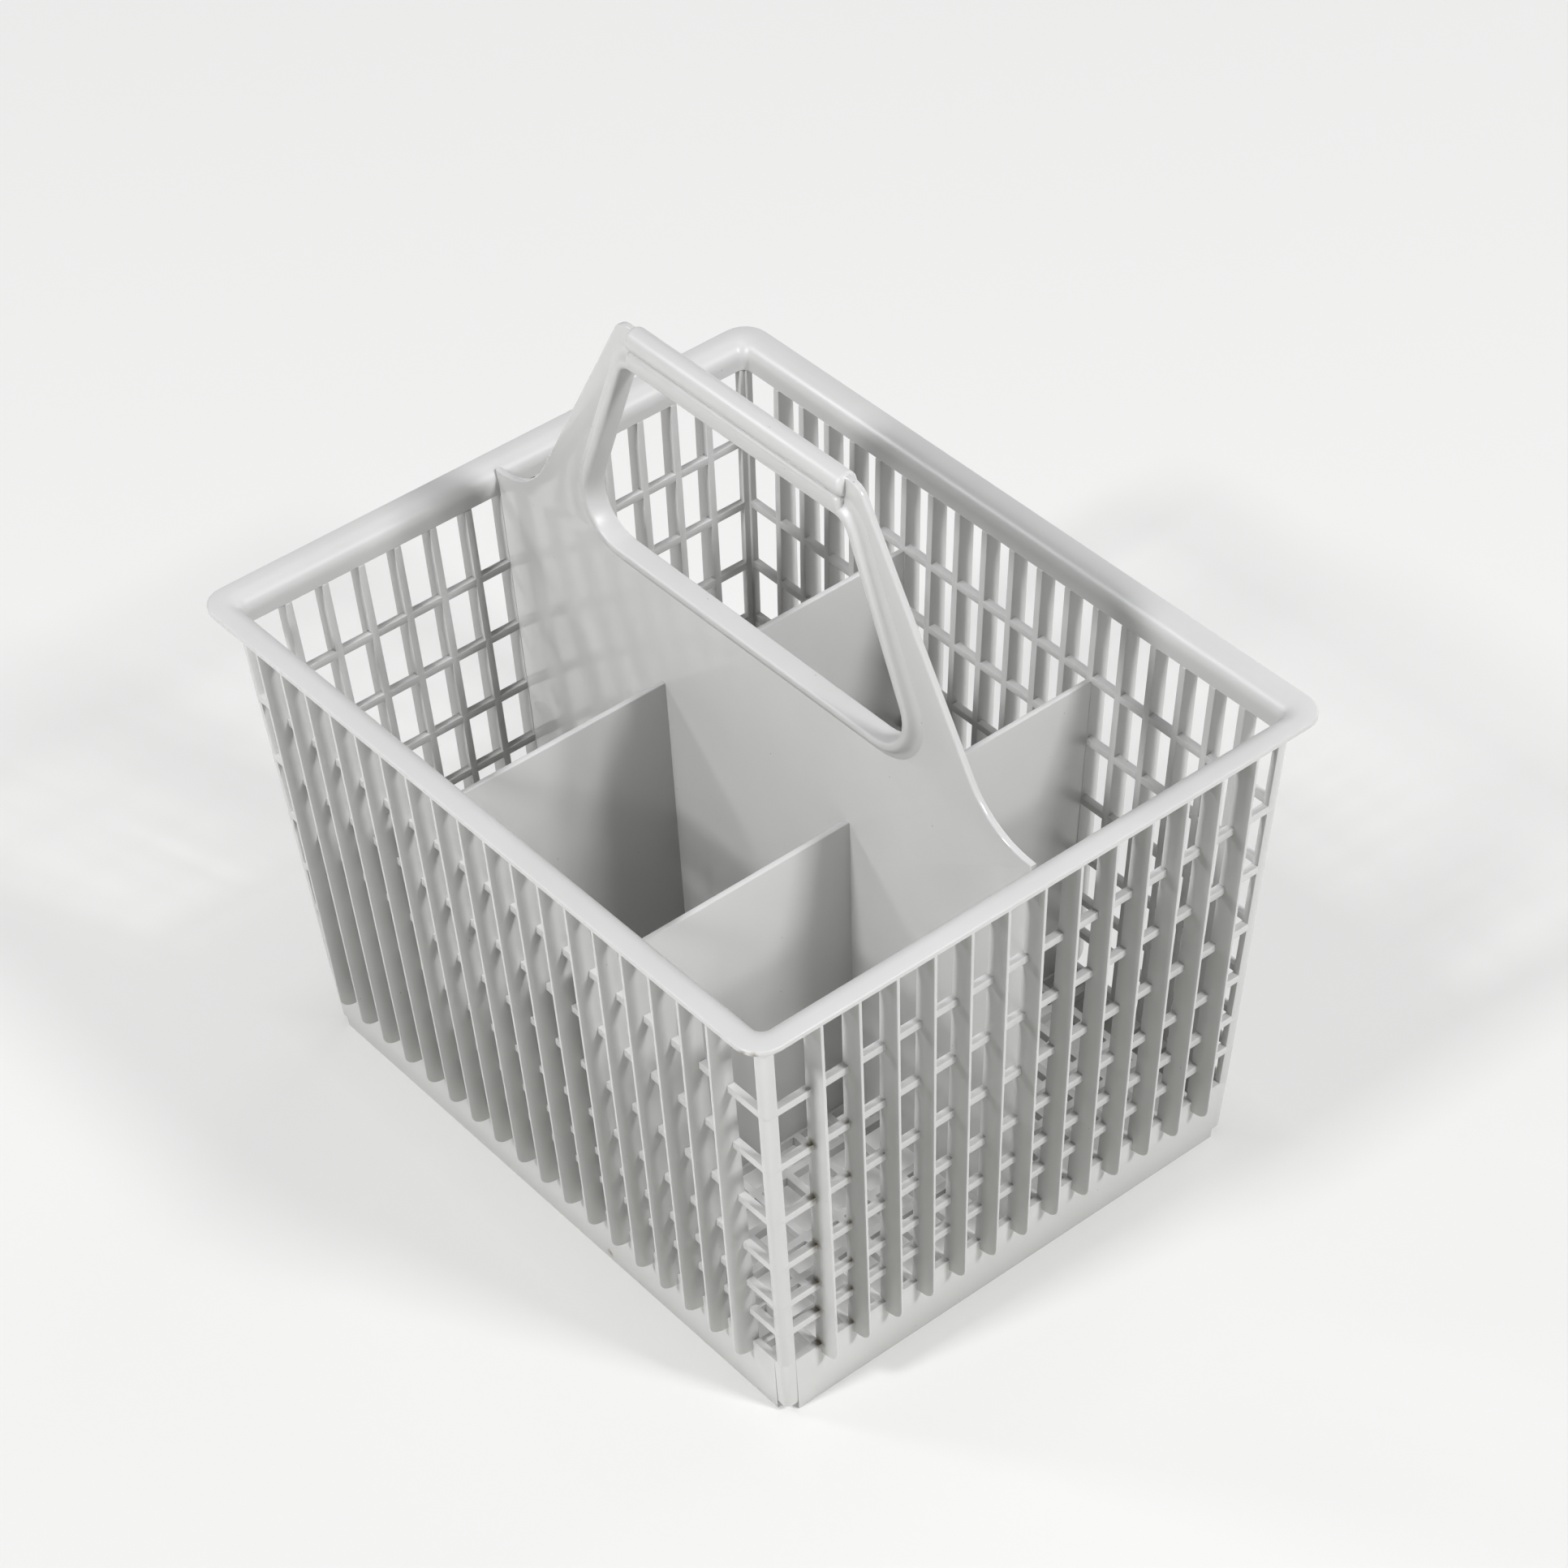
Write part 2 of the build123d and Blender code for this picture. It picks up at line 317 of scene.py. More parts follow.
def new_object(name, mesh):
    """Object for a mesh, linked to the scene, at the origin."""
    made = bpy.data.objects.new(name, mesh)
    bpy.context.collection.objects.link(made)
    return made


def settle(piece):
    """Turn the piece's modifiers into plain mesh and take them off."""
    ready = piece.evaluated_get(bpy.context.evaluated_depsgraph_get())
    mesh = bpy.data.meshes.new_from_object(ready)
    piece.modifiers.clear()
    piece.data = mesh
    mesh.name = piece.name


def soften(piece, width):
    """Round the sharp edges of a piece by a width in millimetres."""
    bevel = piece.modifiers.new("edge", "BEVEL")
    bevel.width = width * MM
    bevel.segments = 2 if width < WIDE_BEVEL else 5
    bevel.limit_method = "ANGLE"
    bevel.angle_limit = BEVEL_ANGLE
    settle(piece)


def finish_piece(piece, material=plastic):
    """Plastic, smooth shading and the ride on the basket's body."""
    piece.data.materials.clear()
    piece.data.materials.append(material)
    for face in piece.data.polygons:
        face.use_smooth = True
    piece.data.set_sharp_from_angle(angle=SHARP_ANGLE)
    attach(piece, "root")
    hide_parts("basket")
    print("piece:", piece.name, len(piece.data.polygons), "faces")


CORNERS = ((1, 1), (-1, 1), (-1, -1), (1, -1))


def rounded_ring(half_x, half_y, radius, z, arc_steps=6):
    """Points of a rectangle with round corners, at height z, going round once."""
    points = []
    for corner, (sx, sy) in enumerate(CORNERS):
        centre = (sx * (half_x - radius), sy * (half_y - radius))
        for step in range(arc_steps + 1):
            turn = math.radians(90 * (corner + step / arc_steps))
            points.append((centre[0] + radius * math.cos(turn),
                           centre[1] + radius * math.sin(turn), z))
    return points


# %% [markdown]
# ## Rim
#
# The rim is a flat lip that a hand can hold, rounded over at its edge, with a closed band below its
# inside. One could extrude a frame and bevel it, but the lip, the round and the leaning band are one
# cross-section, so we carry that section round the basket. Each point of the section becomes one ring,
# and the rings are skinned. The corner radius grows from the inside to the outside, as on the real rim.

# %% Rim


def arc(centre, radius, start, end, count):
    """Points of an arc in a section, from one angle to another in degrees."""
    turns = [math.radians(start + (end - start) * i / count) for i in range(count + 1)]
    return [(centre[0] + radius * math.cos(t), centre[1] + radius * math.sin(t)) for t in turns]


def lean(u, z):
    """Section point at distance u from the leaning inside face, as reach from the rim's inside edge."""
    return (u - (RIM_Z - z) * WALL_SLOPE, z)


EDGE = 0.4
LIP_FILLET = 0.8
round_z = RIM_Z - RIM_INNER_ROUND
round_u = lean(0.0, round_z)[0] + RIM_INNER_ROUND
section = [lean(0.0, RIM_BAND_Z + EDGE)]
section += arc((round_u, round_z), RIM_INNER_ROUND, 180, 90, 8)
section += arc((RIM_REACH - LIP_EDGE, RIM_Z - RIM_FALL - LIP_EDGE), LIP_EDGE, 90, 0, 3)
section += arc((RIM_REACH - LIP_EDGE, LIP_Z + LIP_EDGE), LIP_EDGE, 0, -90, 3)
section += [lean(WALL + LIP_FILLET, LIP_Z), lean(WALL, LIP_Z - LIP_FILLET)]
section += [lean(WALL, RIM_BAND_Z + EDGE), lean(WALL - EDGE, RIM_BAND_Z), lean(EDGE, RIM_BAND_Z)]
rings = []
for reach, z in section:
    radius = RIM_INNER_CORNER + (RIM_CORNER - RIM_INNER_CORNER) * max(reach, 0.0) / RIM_REACH
    grow = reach - RIM_REACH
    rings.append(rounded_ring(HALF_LENGTH + grow, HALF_WIDTH + grow, radius, z))
rim = new_object("rim", make_mesh("rim", *loft(rings, closed=True)))
finish_piece(rim)

# %% [markdown]
# ## Foot band and corner posts
#
# Below the fins the wall closes into a plain band that the basket stands on. Its four corners are cut
# away underneath, so the basket stands on its straight sides. The same wall runs up each corner as a
# narrow post. Both are lofts between outlines at two heights, because the wall leans evenly.

# %% Foot band
EDGE_ROUND = 0.35       # soft edges of the foot band and the posts
LEAST_ROUND = 0.4       # inside corners


def foot_outline(z, grow, notched):
    """Ring of the foot at height z; its corners are lifted where they are notched."""
    half_x = inside(HALF_LENGTH, z) + grow
    half_y = inside(HALF_WIDTH, z) + grow
    radius = max(POST_ROUND - WALL + grow, LEAST_ROUND)
    lift = z + (NOTCH_HEIGHT if notched else 0.0)
    corner_points = rounded_ring(half_x, half_y, radius, lift)
    per_corner = len(corner_points) // 4
    points = []
    for corner, (sx, sy) in enumerate(CORNERS):
        leg_x = (sx * (half_x - NOTCH_WIDTH), sy * half_y)
        leg_y = (sx * half_x, sy * (half_y - NOTCH_WIDTH))
        before, after = (leg_y, leg_x) if sx * sy > 0 else (leg_x, leg_y)
        points += [(*before, z), (*before, lift)]
        points += corner_points[corner * per_corner:(corner + 1) * per_corner]
        points += [(*after, lift), (*after, z)]
    return points


foot_rings = [foot_outline(0.0, WALL, True), foot_outline(FOOT_BAND, WALL, False),
              foot_outline(FOOT_BAND, 0.0, False), foot_outline(0.0, 0.0, True)]
foot = new_object("foot_band", make_mesh("foot_band", *loft(foot_rings, closed=True)))
soften(foot, EDGE_ROUND)
finish_piece(foot)

# %% Corner posts


def post_outline(z, sx, sy):
    """Section of one corner post at height z: an angle with a round outside corner."""
    x = inside(HALF_LENGTH, z)
    y = inside(HALF_WIDTH, z)
    outer = arc((x + WALL - POST_ROUND, y + WALL - POST_ROUND), POST_ROUND, 0, 90, 6)
    end_x = x + WALL - POST_LONG
    end_y = y + WALL - POST_SHORT
    points = [(x + WALL, end_y)] + outer + [(end_x, y + WALL), (end_x, y), (x, y), (x, end_y)]
    return [(sx * px, sy * py, z) for px, py in points]


SINK = 1.0              # how far one feature runs into the next
for end, sx in (("left", -1), ("right", 1)):
    for side, sy in (("front", -1), ("back", 1)):
        name = f"post_{side}_{end}"
        outlines = [post_outline(z, sx, sy) for z in (FOOT_BAND - SINK, RIM_BAND_Z + SINK)]
        post = new_object(name, make_mesh(name, *loft(outlines, closed=False)))
        soften(post, EDGE_ROUND)
        finish_piece(post)

# %% [markdown]
# ## Fins
#
# Each wall is a row of upright fins, thick at the inside face and thin outside, so that the mould can
# open. A copy and paste would do for straight rows, but these fins fan out: each leans a little more than
# its neighbour. That is a rule, so Geometry Nodes place them: a line of points, one fin on each, and a
# lean that grows with the point's index. The same tree serves all four walls with other inputs.

# %% One fin
FIN_EDGE_ROUND = 0.28
FIN_HIDE = 1.2          # the fin steps back inside the rim's band
FIN_TOP_HIDE = 3.2      # and further at its top, behind the rim's round
FIN_TOP_LAP = 0.6       # the fin's top ends inside the lip


def fin_mesh():
    """One fin of the back wall: origin at its inside face under the lip, outward along +Y."""
    top = LIP_Z + FIN_TOP_LAP
    base = inside(HALF_WIDTH, LIP_Z)
    profile = [(inside(HALF_WIDTH, FIN_Z), FIN_Z)]
    profile += [(fin_edge(HALF_WIDTH, FIN_Z + dz) - FIN_ROUND + du, FIN_Z + dz)
                for du, dz in arc((0.0, FIN_ROUND), FIN_ROUND, -90, 0, 4)]
    profile += [(fin_edge(HALF_WIDTH, top), top), (inside(HALF_WIDTH, top) + FIN_TOP_HIDE, top)]
    profile += [(inside(HALF_WIDTH, RIM_BAND_Z + SINK) + FIN_HIDE, RIM_BAND_Z + SINK),
                (inside(HALF_WIDTH, RIM_BAND_Z), RIM_BAND_Z)]
    sides = []
    for sign in (-1, 1):
        side = []
        for u, z in profile:
            half_thick = (FIN_THICK - FIN_TAPER * (u - inside(HALF_WIDTH, z))) / 2
            side.append((sign * half_thick, u - base, z - LIP_Z))
        sides.append(side)
    return make_mesh("fin", *loft(sides, closed=False))


fin = new_object("fin", fin_mesh())
soften(fin, FIN_EDGE_ROUND)
print("one fin:", len(fin.data.polygons), "faces")

# %% Tree that fans fins along a wall


def new_tree(name, sockets):
    """Geometry tree with named inputs: the tree, its input sockets and their identifiers."""
    tree = bpy.data.node_groups.new(name, "GeometryNodeTree")
    keys = {}
    for kind, labels in sockets.items():
        for label in labels:
            made = tree.interface.new_socket(label, in_out="INPUT", socket_type="NodeSocket" + kind)
            keys[label] = made.identifier
    tree.interface.new_socket("Geometry", in_out="OUTPUT", socket_type="NodeSocketGeometry")
    return tree, tree.nodes.new("NodeGroupInput").outputs, keys


def paint_and_end(tree, geometry, material):
    """Give the geometry its material and put it out."""
    painted = add(tree, "GeometryNodeSetMaterial", {"Geometry": geometry, "Material": material})
    add(tree, "NodeGroupOutput", {"Geometry": painted.outputs[0]})


fan, given, fan_keys = new_tree("fins_along_a_wall", {
    "Object": ["Fin"], "Int": ["Count"], "Material": ["Plastic"],
    "Float": ["Pitch", "Lean step", "Distance", "Lip height", "Turn"]})
middle = calc(fan, "MULTIPLY", calc(fan, "SUBTRACT", given["Count"], 1.0), 0.5)
start = calc(fan, "MULTIPLY", calc(fan, "MULTIPLY", middle, given["Pitch"]), -1.0)
first = add(fan, "ShaderNodeCombineXYZ", {"X": start})
stride = add(fan, "ShaderNodeCombineXYZ", {"X": given["Pitch"]})
line = add(fan, "GeometryNodeMeshLine", {"Count": given["Count"], "Start Location": first.outputs[0],
                                         "Offset": stride.outputs[0]})
index = add(fan, "GeometryNodeInputIndex")
lean_turn = calc(fan, "MULTIPLY", calc(fan, "SUBTRACT", index.outputs[0], middle), given["Lean step"])
lean_turns = add(fan, "ShaderNodeCombineXYZ", {"Y": lean_turn})
one = add(fan, "GeometryNodeObjectInfo", {"Object": given["Fin"]})
row = add(fan, "GeometryNodeInstanceOnPoints", {"Points": line.outputs["Mesh"],
                                                "Instance": one.outputs["Geometry"],
                                                "Rotation": lean_turns.outputs[0]})
out = add(fan, "ShaderNodeCombineXYZ", {"Y": given["Distance"], "Z": given["Lip height"]})
moved = add(fan, "GeometryNodeTransform", {"Geometry": row.outputs["Instances"],
                                           "Translation": out.outputs[0]})
about = add(fan, "ShaderNodeCombineXYZ", {"Z": given["Turn"]})
turned = add(fan, "GeometryNodeTransform", {"Geometry": moved.outputs[0], "Rotation": about.outputs[0]})
whole = add(fan, "GeometryNodeRealizeInstances", {"Geometry": turned.outputs[0]})
paint_and_end(fan, whole.outputs[0], given["Plastic"])
print("tree:", fan.name, len(fan.nodes), "nodes")

# %% Four walls of fins


def from_tree(name, tree, keys, values, mesh=None):
    """Plain mesh object that a node tree makes from its inputs."""
    piece = new_object(name, mesh or bpy.data.meshes.new(name))
    modifier = piece.modifiers.new("nodes", "NODES")
    modifier.node_group = tree
    for label, value in values.items():
        modifier[keys[label]] = value
    settle(piece)
    return piece


WALLS = (("back", HALF_WIDTH, HALF_LENGTH, LONG_FINS, 0),
         ("left", HALF_LENGTH, HALF_WIDTH, SHORT_FINS, 90),
         ("front", HALF_WIDTH, HALF_LENGTH, LONG_FINS, 180),
         ("right", HALF_LENGTH, HALF_WIDTH, SHORT_FINS, 270))
for side, half, half_run, count, turn in WALLS:
    at_rim = fin_pitch(half_run, count, LIP_Z)
    at_foot = fin_pitch(half_run, count, FIN_Z)
    piece = from_tree(f"fins_{side}", fan, fan_keys, {
        "Fin": fin, "Count": count, "Pitch": at_rim * MM,
        "Lean step": math.atan((at_rim - at_foot) / (LIP_Z - FIN_Z)),
        "Distance": inside(half, LIP_Z) * MM, "Lip height": LIP_Z * MM,
        "Turn": math.radians(turn), "Plastic": plastic})
    finish_piece(piece)
bpy.data.objects.remove(fin)

# %% [markdown]
# ## Bars
#
# Level bars tie the fins together at six heights, closer together towards the foot where the cutlery is
# heaviest. Each is a frame that grows with the leaning wall. In Geometry Nodes one rectangle is put on a
# point at each height, scaled to the wall there, rounded at its corners and given a square section.

# %% Tree for the level bars
BAR_INSET = 0.06        # keeps the bars' inside faces just behind the fins', so no two faces coincide
BAR_EDGE_ROUND = 0.3
bar_tree, given, bar_keys = new_tree("level_bars", {
    "Geometry": ["Points"], "Material": ["Plastic"],
    "Float": ["Length at foot", "Width at foot", "Growth", "Bar depth", "Bar height", "Corner"]})
place = add(bar_tree, "GeometryNodeInputPosition").outputs[0]
height = add(bar_tree, "ShaderNodeSeparateXYZ", {0: place}).outputs["Z"]
length = calc(bar_tree, "MULTIPLY_ADD", height, given["Growth"], given["Length at foot"])
width = calc(bar_tree, "MULTIPLY_ADD", height, given["Growth"], given["Width at foot"])
size = add(bar_tree, "ShaderNodeCombineXYZ", {"X": length, "Y": width, "Z": 1.0})
square = add(bar_tree, "GeometryNodeCurvePrimitiveQuadrilateral", {"Width": 1.0, "Height": 1.0})
frames = add(bar_tree, "GeometryNodeInstanceOnPoints", {"Points": given["Points"],
                                                        "Instance": square.outputs[0],
                                                        "Scale": size.outputs[0]})
real = add(bar_tree, "GeometryNodeRealizeInstances", {"Geometry": frames.outputs[0]})
bent = add(bar_tree, "GeometryNodeFilletCurve", {"Curve": real.outputs[0], "Count": 4,
                                                 "Radius": given["Corner"]}, mode="POLY")
upright = add(bar_tree, "GeometryNodeSetCurveNormal", {"Curve": bent.outputs[0]}, mode="Z_UP")
rail = add(bar_tree, "GeometryNodeCurvePrimitiveQuadrilateral", {"Width": given["Bar depth"],
                                                                 "Height": given["Bar height"]})
swept = add(bar_tree, "GeometryNodeCurveToMesh", {"Curve": upright.outputs[0],
                                                  "Profile Curve": rail.outputs[0]})
paint_and_end(bar_tree, swept.outputs[0], given["Plastic"])

# %% Level bars
levels = bpy.data.meshes.new("bar_levels")
levels.from_pydata([(0.0, 0.0, (top - BAR_HEIGHT / 2) * MM) for top in BAR_TOPS], [], [])
bar_depth = WALL - BAR_INSET
bar_line = BAR_INSET + bar_depth / 2
bars = from_tree("bars", bar_tree, bar_keys, {
    "Length at foot": 2 * (inside(HALF_LENGTH, 0.0) + bar_line) * MM,
    "Width at foot": 2 * (inside(HALF_WIDTH, 0.0) + bar_line) * MM,
    "Growth": 2 * WALL_SLOPE, "Bar depth": bar_depth * MM, "Bar height": BAR_HEIGHT * MM,
    "Corner": POST_ROUND / 2 * MM, "Plastic": plastic}, levels)
soften(bars, BAR_EDGE_ROUND)
finish_piece(bars)

# %% [markdown]
# ## Floor
#
# Water has to drain, so the floor is a sheet full of small round-cornered holes. Modelling each hole by
# hand would be slow, and cutting hundreds of them with booleans is fragile. Instead the tree lays out the
# holes as flat curves, lets Fill Curve turn outline and holes into one sheet, and pulls that to thickness.

# %% Tree for the perforated floor
FLOOR_DOUBLE = 0.01     # points of the floor closer than this are one, mm
floor_tree, given, floor_keys = new_tree("perforated_floor", {
    "Float": ["Length", "Width", "Web", "Hole corner", "Top", "Thickness"],
    "Int": ["Holes along", "Holes across"], "Material": ["Plastic"]})
pitch_x = calc(floor_tree, "DIVIDE", given["Length"], given["Holes along"])
pitch_y = calc(floor_tree, "DIVIDE", given["Width"], given["Holes across"])
span_x = calc(floor_tree, "SUBTRACT", given["Length"], pitch_x)
span_y = calc(floor_tree, "SUBTRACT", given["Width"], pitch_y)
spots = add(floor_tree, "GeometryNodeMeshGrid", {"Size X": span_x, "Size Y": span_y,
                                                 "Vertices X": given["Holes along"],
                                                 "Vertices Y": given["Holes across"]})
hole_x = calc(floor_tree, "SUBTRACT", pitch_x, given["Web"])
hole_y = calc(floor_tree, "SUBTRACT", pitch_y, given["Web"])
hole = add(floor_tree, "GeometryNodeCurvePrimitiveQuadrilateral", {"Width": hole_x, "Height": hole_y})
hole_round = add(floor_tree, "GeometryNodeFilletCurve", {"Curve": hole.outputs[0], "Count": 3,
                                                         "Radius": given["Hole corner"]}, mode="POLY")
holes = add(floor_tree, "GeometryNodeInstanceOnPoints", {"Points": spots.outputs["Mesh"],
                                                         "Instance": hole_round.outputs[0]})
hole_curves = add(floor_tree, "GeometryNodeRealizeInstances", {"Geometry": holes.outputs[0]})
edge = add(floor_tree, "GeometryNodeCurvePrimitiveQuadrilateral", {"Width": given["Length"],
                                                                   "Height": given["Width"]})
lines = add(floor_tree, "GeometryNodeJoinGeometry")
floor_tree.links.new(edge.outputs[0], lines.inputs[0])
floor_tree.links.new(hole_curves.outputs[0], lines.inputs[0])
sheet = add(floor_tree, "GeometryNodeFillCurve", {"Curve": lines.outputs[0]})
pull = add(floor_tree, "ShaderNodeCombineXYZ", {"Z": given["Thickness"]})
thick = add(floor_tree, "GeometryNodeExtrudeMesh", {"Mesh": sheet.outputs[0], "Offset": pull.outputs[0],
                                                    "Offset Scale": 1.0, "Individual": False})
under = add(floor_tree, "GeometryNodeFlipFaces", {"Mesh": sheet.outputs[0]})
slab = add(floor_tree, "GeometryNodeJoinGeometry")
floor_tree.links.new(thick.outputs["Mesh"], slab.inputs[0])
floor_tree.links.new(under.outputs[0], slab.inputs[0])
sealed = add(floor_tree, "GeometryNodeMergeByDistance", {"Geometry": slab.outputs[0],
                                                         "Distance": FLOOR_DOUBLE * MM})
rise = add(floor_tree, "ShaderNodeCombineXYZ", {
    "Z": calc(floor_tree, "SUBTRACT", given["Top"], given["Thickness"])})
raised = add(floor_tree, "GeometryNodeTransform", {"Geometry": sealed.outputs[0],
                                                   "Translation": rise.outputs[0]})
paint_and_end(floor_tree, raised.outputs[0], given["Plastic"])

# %% Perforated floor
FLOOR_THICK = 3.0
HOLES_ALONG = 19
HOLES_ACROSS = 14
WEB = 2.3
HOLE_CORNER = 0.4
floor = from_tree("floor", floor_tree, floor_keys, {
    "Length": (2 * inside(HALF_LENGTH, FLOOR_Z) + SINK) * MM,
    "Width": (2 * inside(HALF_WIDTH, FLOOR_Z) + SINK) * MM,
    "Holes along": HOLES_ALONG, "Holes across": HOLES_ACROSS,
    "Web": WEB * MM, "Hole corner": HOLE_CORNER * MM,
    "Top": FLOOR_Z * MM, "Thickness": FLOOR_THICK * MM, "Plastic": plastic})
finish_piece(floor)

# %% [markdown]
# ## Cross walls
#
# Two plain walls cross the basket in line with a pair of fins, and stop well below the rim so that hands
# reach the cutlery. They lean with those fins. A loft between two rectangles gives the lean, and the top
# edge is rounded so that it shows the pale line of light that a moulded edge has.

# %% Cross walls
PARTITION = 2.0
DIVIDER_Z = RIM_Z - 33.0
DIVIDER_STEP = 3.5      # pitches of the fins from the middle
DIVIDER_ROUND = 0.6


def divider_outline(side, z):
    """Section of a cross wall at height z."""
    x = side * DIVIDER_STEP * fin_pitch(HALF_LENGTH, LONG_FINS, z)
    y = inside(HALF_WIDTH, z) + SINK
    half = PARTITION / 2
    return [(x - half, -y, z), (x + half, -y, z), (x + half, y, z), (x - half, y, z)]


for end, side in (("left", -1), ("right", 1)):
    name = f"cross_wall_{end}"
    outlines = [divider_outline(side, z) for z in (FLOOR_Z - SINK, DIVIDER_Z)]
    wall = new_object(name, make_mesh(name, *loft(outlines, closed=False)))
    soften(wall, DIVIDER_ROUND)
    finish_piece(wall)

# %% [markdown]
# ## Central wall and handle
#
# The central wall sweeps up out of the rim into two sloping arms. Its outline is straight lines joined by
# arcs, so we write only the corners and their radii and let a function round them. A flat curve with two
# splines, outline and hand hole, fills itself, and its extrusion and bevel give thickness and soft edges.

# %% Outlines of the central wall and the hand hole
SHOULDER_Z = RIM_Z + 83.5
HANDLE_SLOPE = math.tan(math.radians(30.0))
HANDLE_MARGIN = 14.6
HOLE_TOP = SHOULDER_Z - 11.5
HOLE_SILL = RIM_Z + 6.7
ARM_AT_SILL = 21.5      # from the handle's outer edge to the hand hole, at its sill
ARM_AT_TOP = 10.2       # and at its top
ROOT_DROP = 0.4         # the wall's roots end just under the rim's top
SWEEP_ROUND = 26.0
SHOULDER_ROUND = 6.0
SILL_ROUND = 12.0
HOLE_TOP_ROUND = 5.0


def handle_edge(z):
    """Distance of the handle's outer edge from the middle, at height z."""
    return inside(HALF_LENGTH, RIM_Z) - HANDLE_MARGIN - (z - RIM_Z) * HANDLE_SLOPE


def rounded(corners, arc_steps=10):
    """Outline with each corner (x, z, radius) replaced by a tangent arc."""
    points = []
    count = len(corners)
    for i, (x, z, radius) in enumerate(corners):
        here = Vector((x, z))
        if radius == 0:
            points.append(here)
            continue
        to_last = (Vector(corners[i - 1][:2]) - here).normalized()
        to_next = (Vector(corners[(i + 1) % count][:2]) - here).normalized()
        half_angle = to_last.angle(to_next) / 2
        centre = here + (to_last + to_next).normalized() * radius / math.sin(half_angle)
        first = here + to_last * radius / math.tan(half_angle) - centre
        last = here + to_next * radius / math.tan(half_angle) - centre
        for step in range(arc_steps + 1):
            points.append(centre + first.slerp(last, step / arc_steps).normalized() * radius)
    return points


def grown(outline, distance):
    """Outline moved outward by a distance."""
    moved = []
    for i, here in enumerate(outline):
        along = (outline[(i + 1) % len(outline)] - outline[i - 1]).normalized()
        moved.append(here + Vector((along.y, -along.x)) * distance)
    return moved


def mirrored(right):
    """Whole outline from its right half, listed from the foot upward."""
    return right + [(-x, z, radius) for x, z, radius in reversed(right)]


root_foot = inside(HALF_LENGTH, FLOOR_Z - SINK) + SINK
root_top = inside(HALF_LENGTH, RIM_Z) + SINK
wall_outline = rounded(mirrored([(root_foot, FLOOR_Z - SINK, 0), (root_top, RIM_Z - ROOT_DROP, 0),
                                 (handle_edge(RIM_Z), RIM_Z - ROOT_DROP, SWEEP_ROUND),
                                 (handle_edge(SHOULDER_Z), SHOULDER_Z, SHOULDER_ROUND)]))
hole_outline = rounded(mirrored([(handle_edge(HOLE_SILL) - ARM_AT_SILL, HOLE_SILL, SILL_ROUND),
                                 (handle_edge(HOLE_TOP) - ARM_AT_TOP, HOLE_TOP, HOLE_TOP_ROUND)]))
print("central wall:", len(wall_outline), "outline points,", len(hole_outline), "round the hole")

# %% Central wall
WALL_EDGE = 0.5
COLLAR_COVER = 2.0      # the wall's own hole is larger, so that its edge is buried in the collar
CURVE_DOUBLE = 0.002    # points of the filled curve closer than this are one, mm


def spline_into(curve, outline):
    """Closed straight-segment spline through an outline."""
    spline = curve.splines.new("POLY")
    spline.points.add(len(outline) - 1)
    for point, (x, z) in zip(spline.points, outline):
        point.co = (x * MM, z * MM, 0.0, 1.0)
    spline.use_cyclic_u = True


drawn = bpy.data.curves.new("central_wall", "CURVE")
drawn.dimensions = "2D"
drawn.fill_mode = "BOTH"
spline_into(drawn, wall_outline)
spline_into(drawn, grown(hole_outline, COLLAR_COVER))
drawn.bevel_depth = WALL_EDGE * MM
drawn.bevel_resolution = 2
drawn.offset = -WALL_EDGE * MM
drawn.extrude = (PARTITION / 2 - WALL_EDGE) * MM
flat = new_object("central_wall_curve", drawn)
filled = flat.evaluated_get(bpy.context.evaluated_depsgraph_get())
wall_mesh = bpy.data.meshes.new_from_object(filled)
bpy.data.objects.remove(flat)
wall_mesh.transform(Matrix.Rotation(math.radians(90), 4, "X"))
shape = bmesh.new()
shape.from_mesh(wall_mesh)
write_mesh(shape, wall_mesh, CURVE_DOUBLE)
central_wall = new_object("central_wall", wall_mesh)
finish_piece(central_wall, polished)

# %% [markdown]
# ## Collar and grip
#
# A thin edge would cut into the fingers, so the hole has a raised collar on both faces that flares softly
# into the wall, and the top of the handle is a thick rounded grip with a groove under it. The collar is one
# section carried round the hole. Its outward direction at each point comes from the outline's neighbours.

# %% Collar round the hand hole
# Half of the section: distance from the hole's edge, and half thickness there.
collar_half = [(0.0, 0.0), (0.0, 2.7), (0.12, 3.15), (0.5, 3.45), (1.1, 3.5), (1.8, 3.5), (2.4, 3.3),
               (2.9, 2.8), (3.4, 2.1), (4.0, 1.55), (4.8, 1.2), (5.8, 1.02), (6.2, 0.8)]
collar_section = collar_half + [(d, -y) for d, y in reversed(collar_half[1:])]
collar_rings = []
for distance, y in collar_section:
    collar_rings.append([(x, y, z) for x, z in grown(hole_outline, distance)])
collar = new_object("hole_collar", make_mesh("hole_collar", *loft(collar_rings, closed=True)))
finish_piece(collar)

# %% Grip
GRIP_RADIUS = 3.6
GRIP_Z = TOP_Z - GRIP_RADIUS
GRIP_SETBACK = 5.0      # from the arms' outer edges to the ends of the grip
GRIP_HALF = handle_edge(SHOULDER_Z) - GRIP_SETBACK
GRIP_END_ROUND = 1.6
APRON_TOP = 234.8
APRON_HALF_DEPTH = 3.6
APRON_LIFT = 0.3        # above the top of the hand hole
APRON_FLARE = 0.5       # wider at its foot and narrower at its top than the grip
APRON_ROUND = 1.7


def disc(x, radius, count=32):
    """Ring of points round the grip's axis."""
    turns = [2 * math.pi * i / count for i in range(count)]
    return [(x, radius * math.cos(t), GRIP_Z + radius * math.sin(t)) for t in turns]


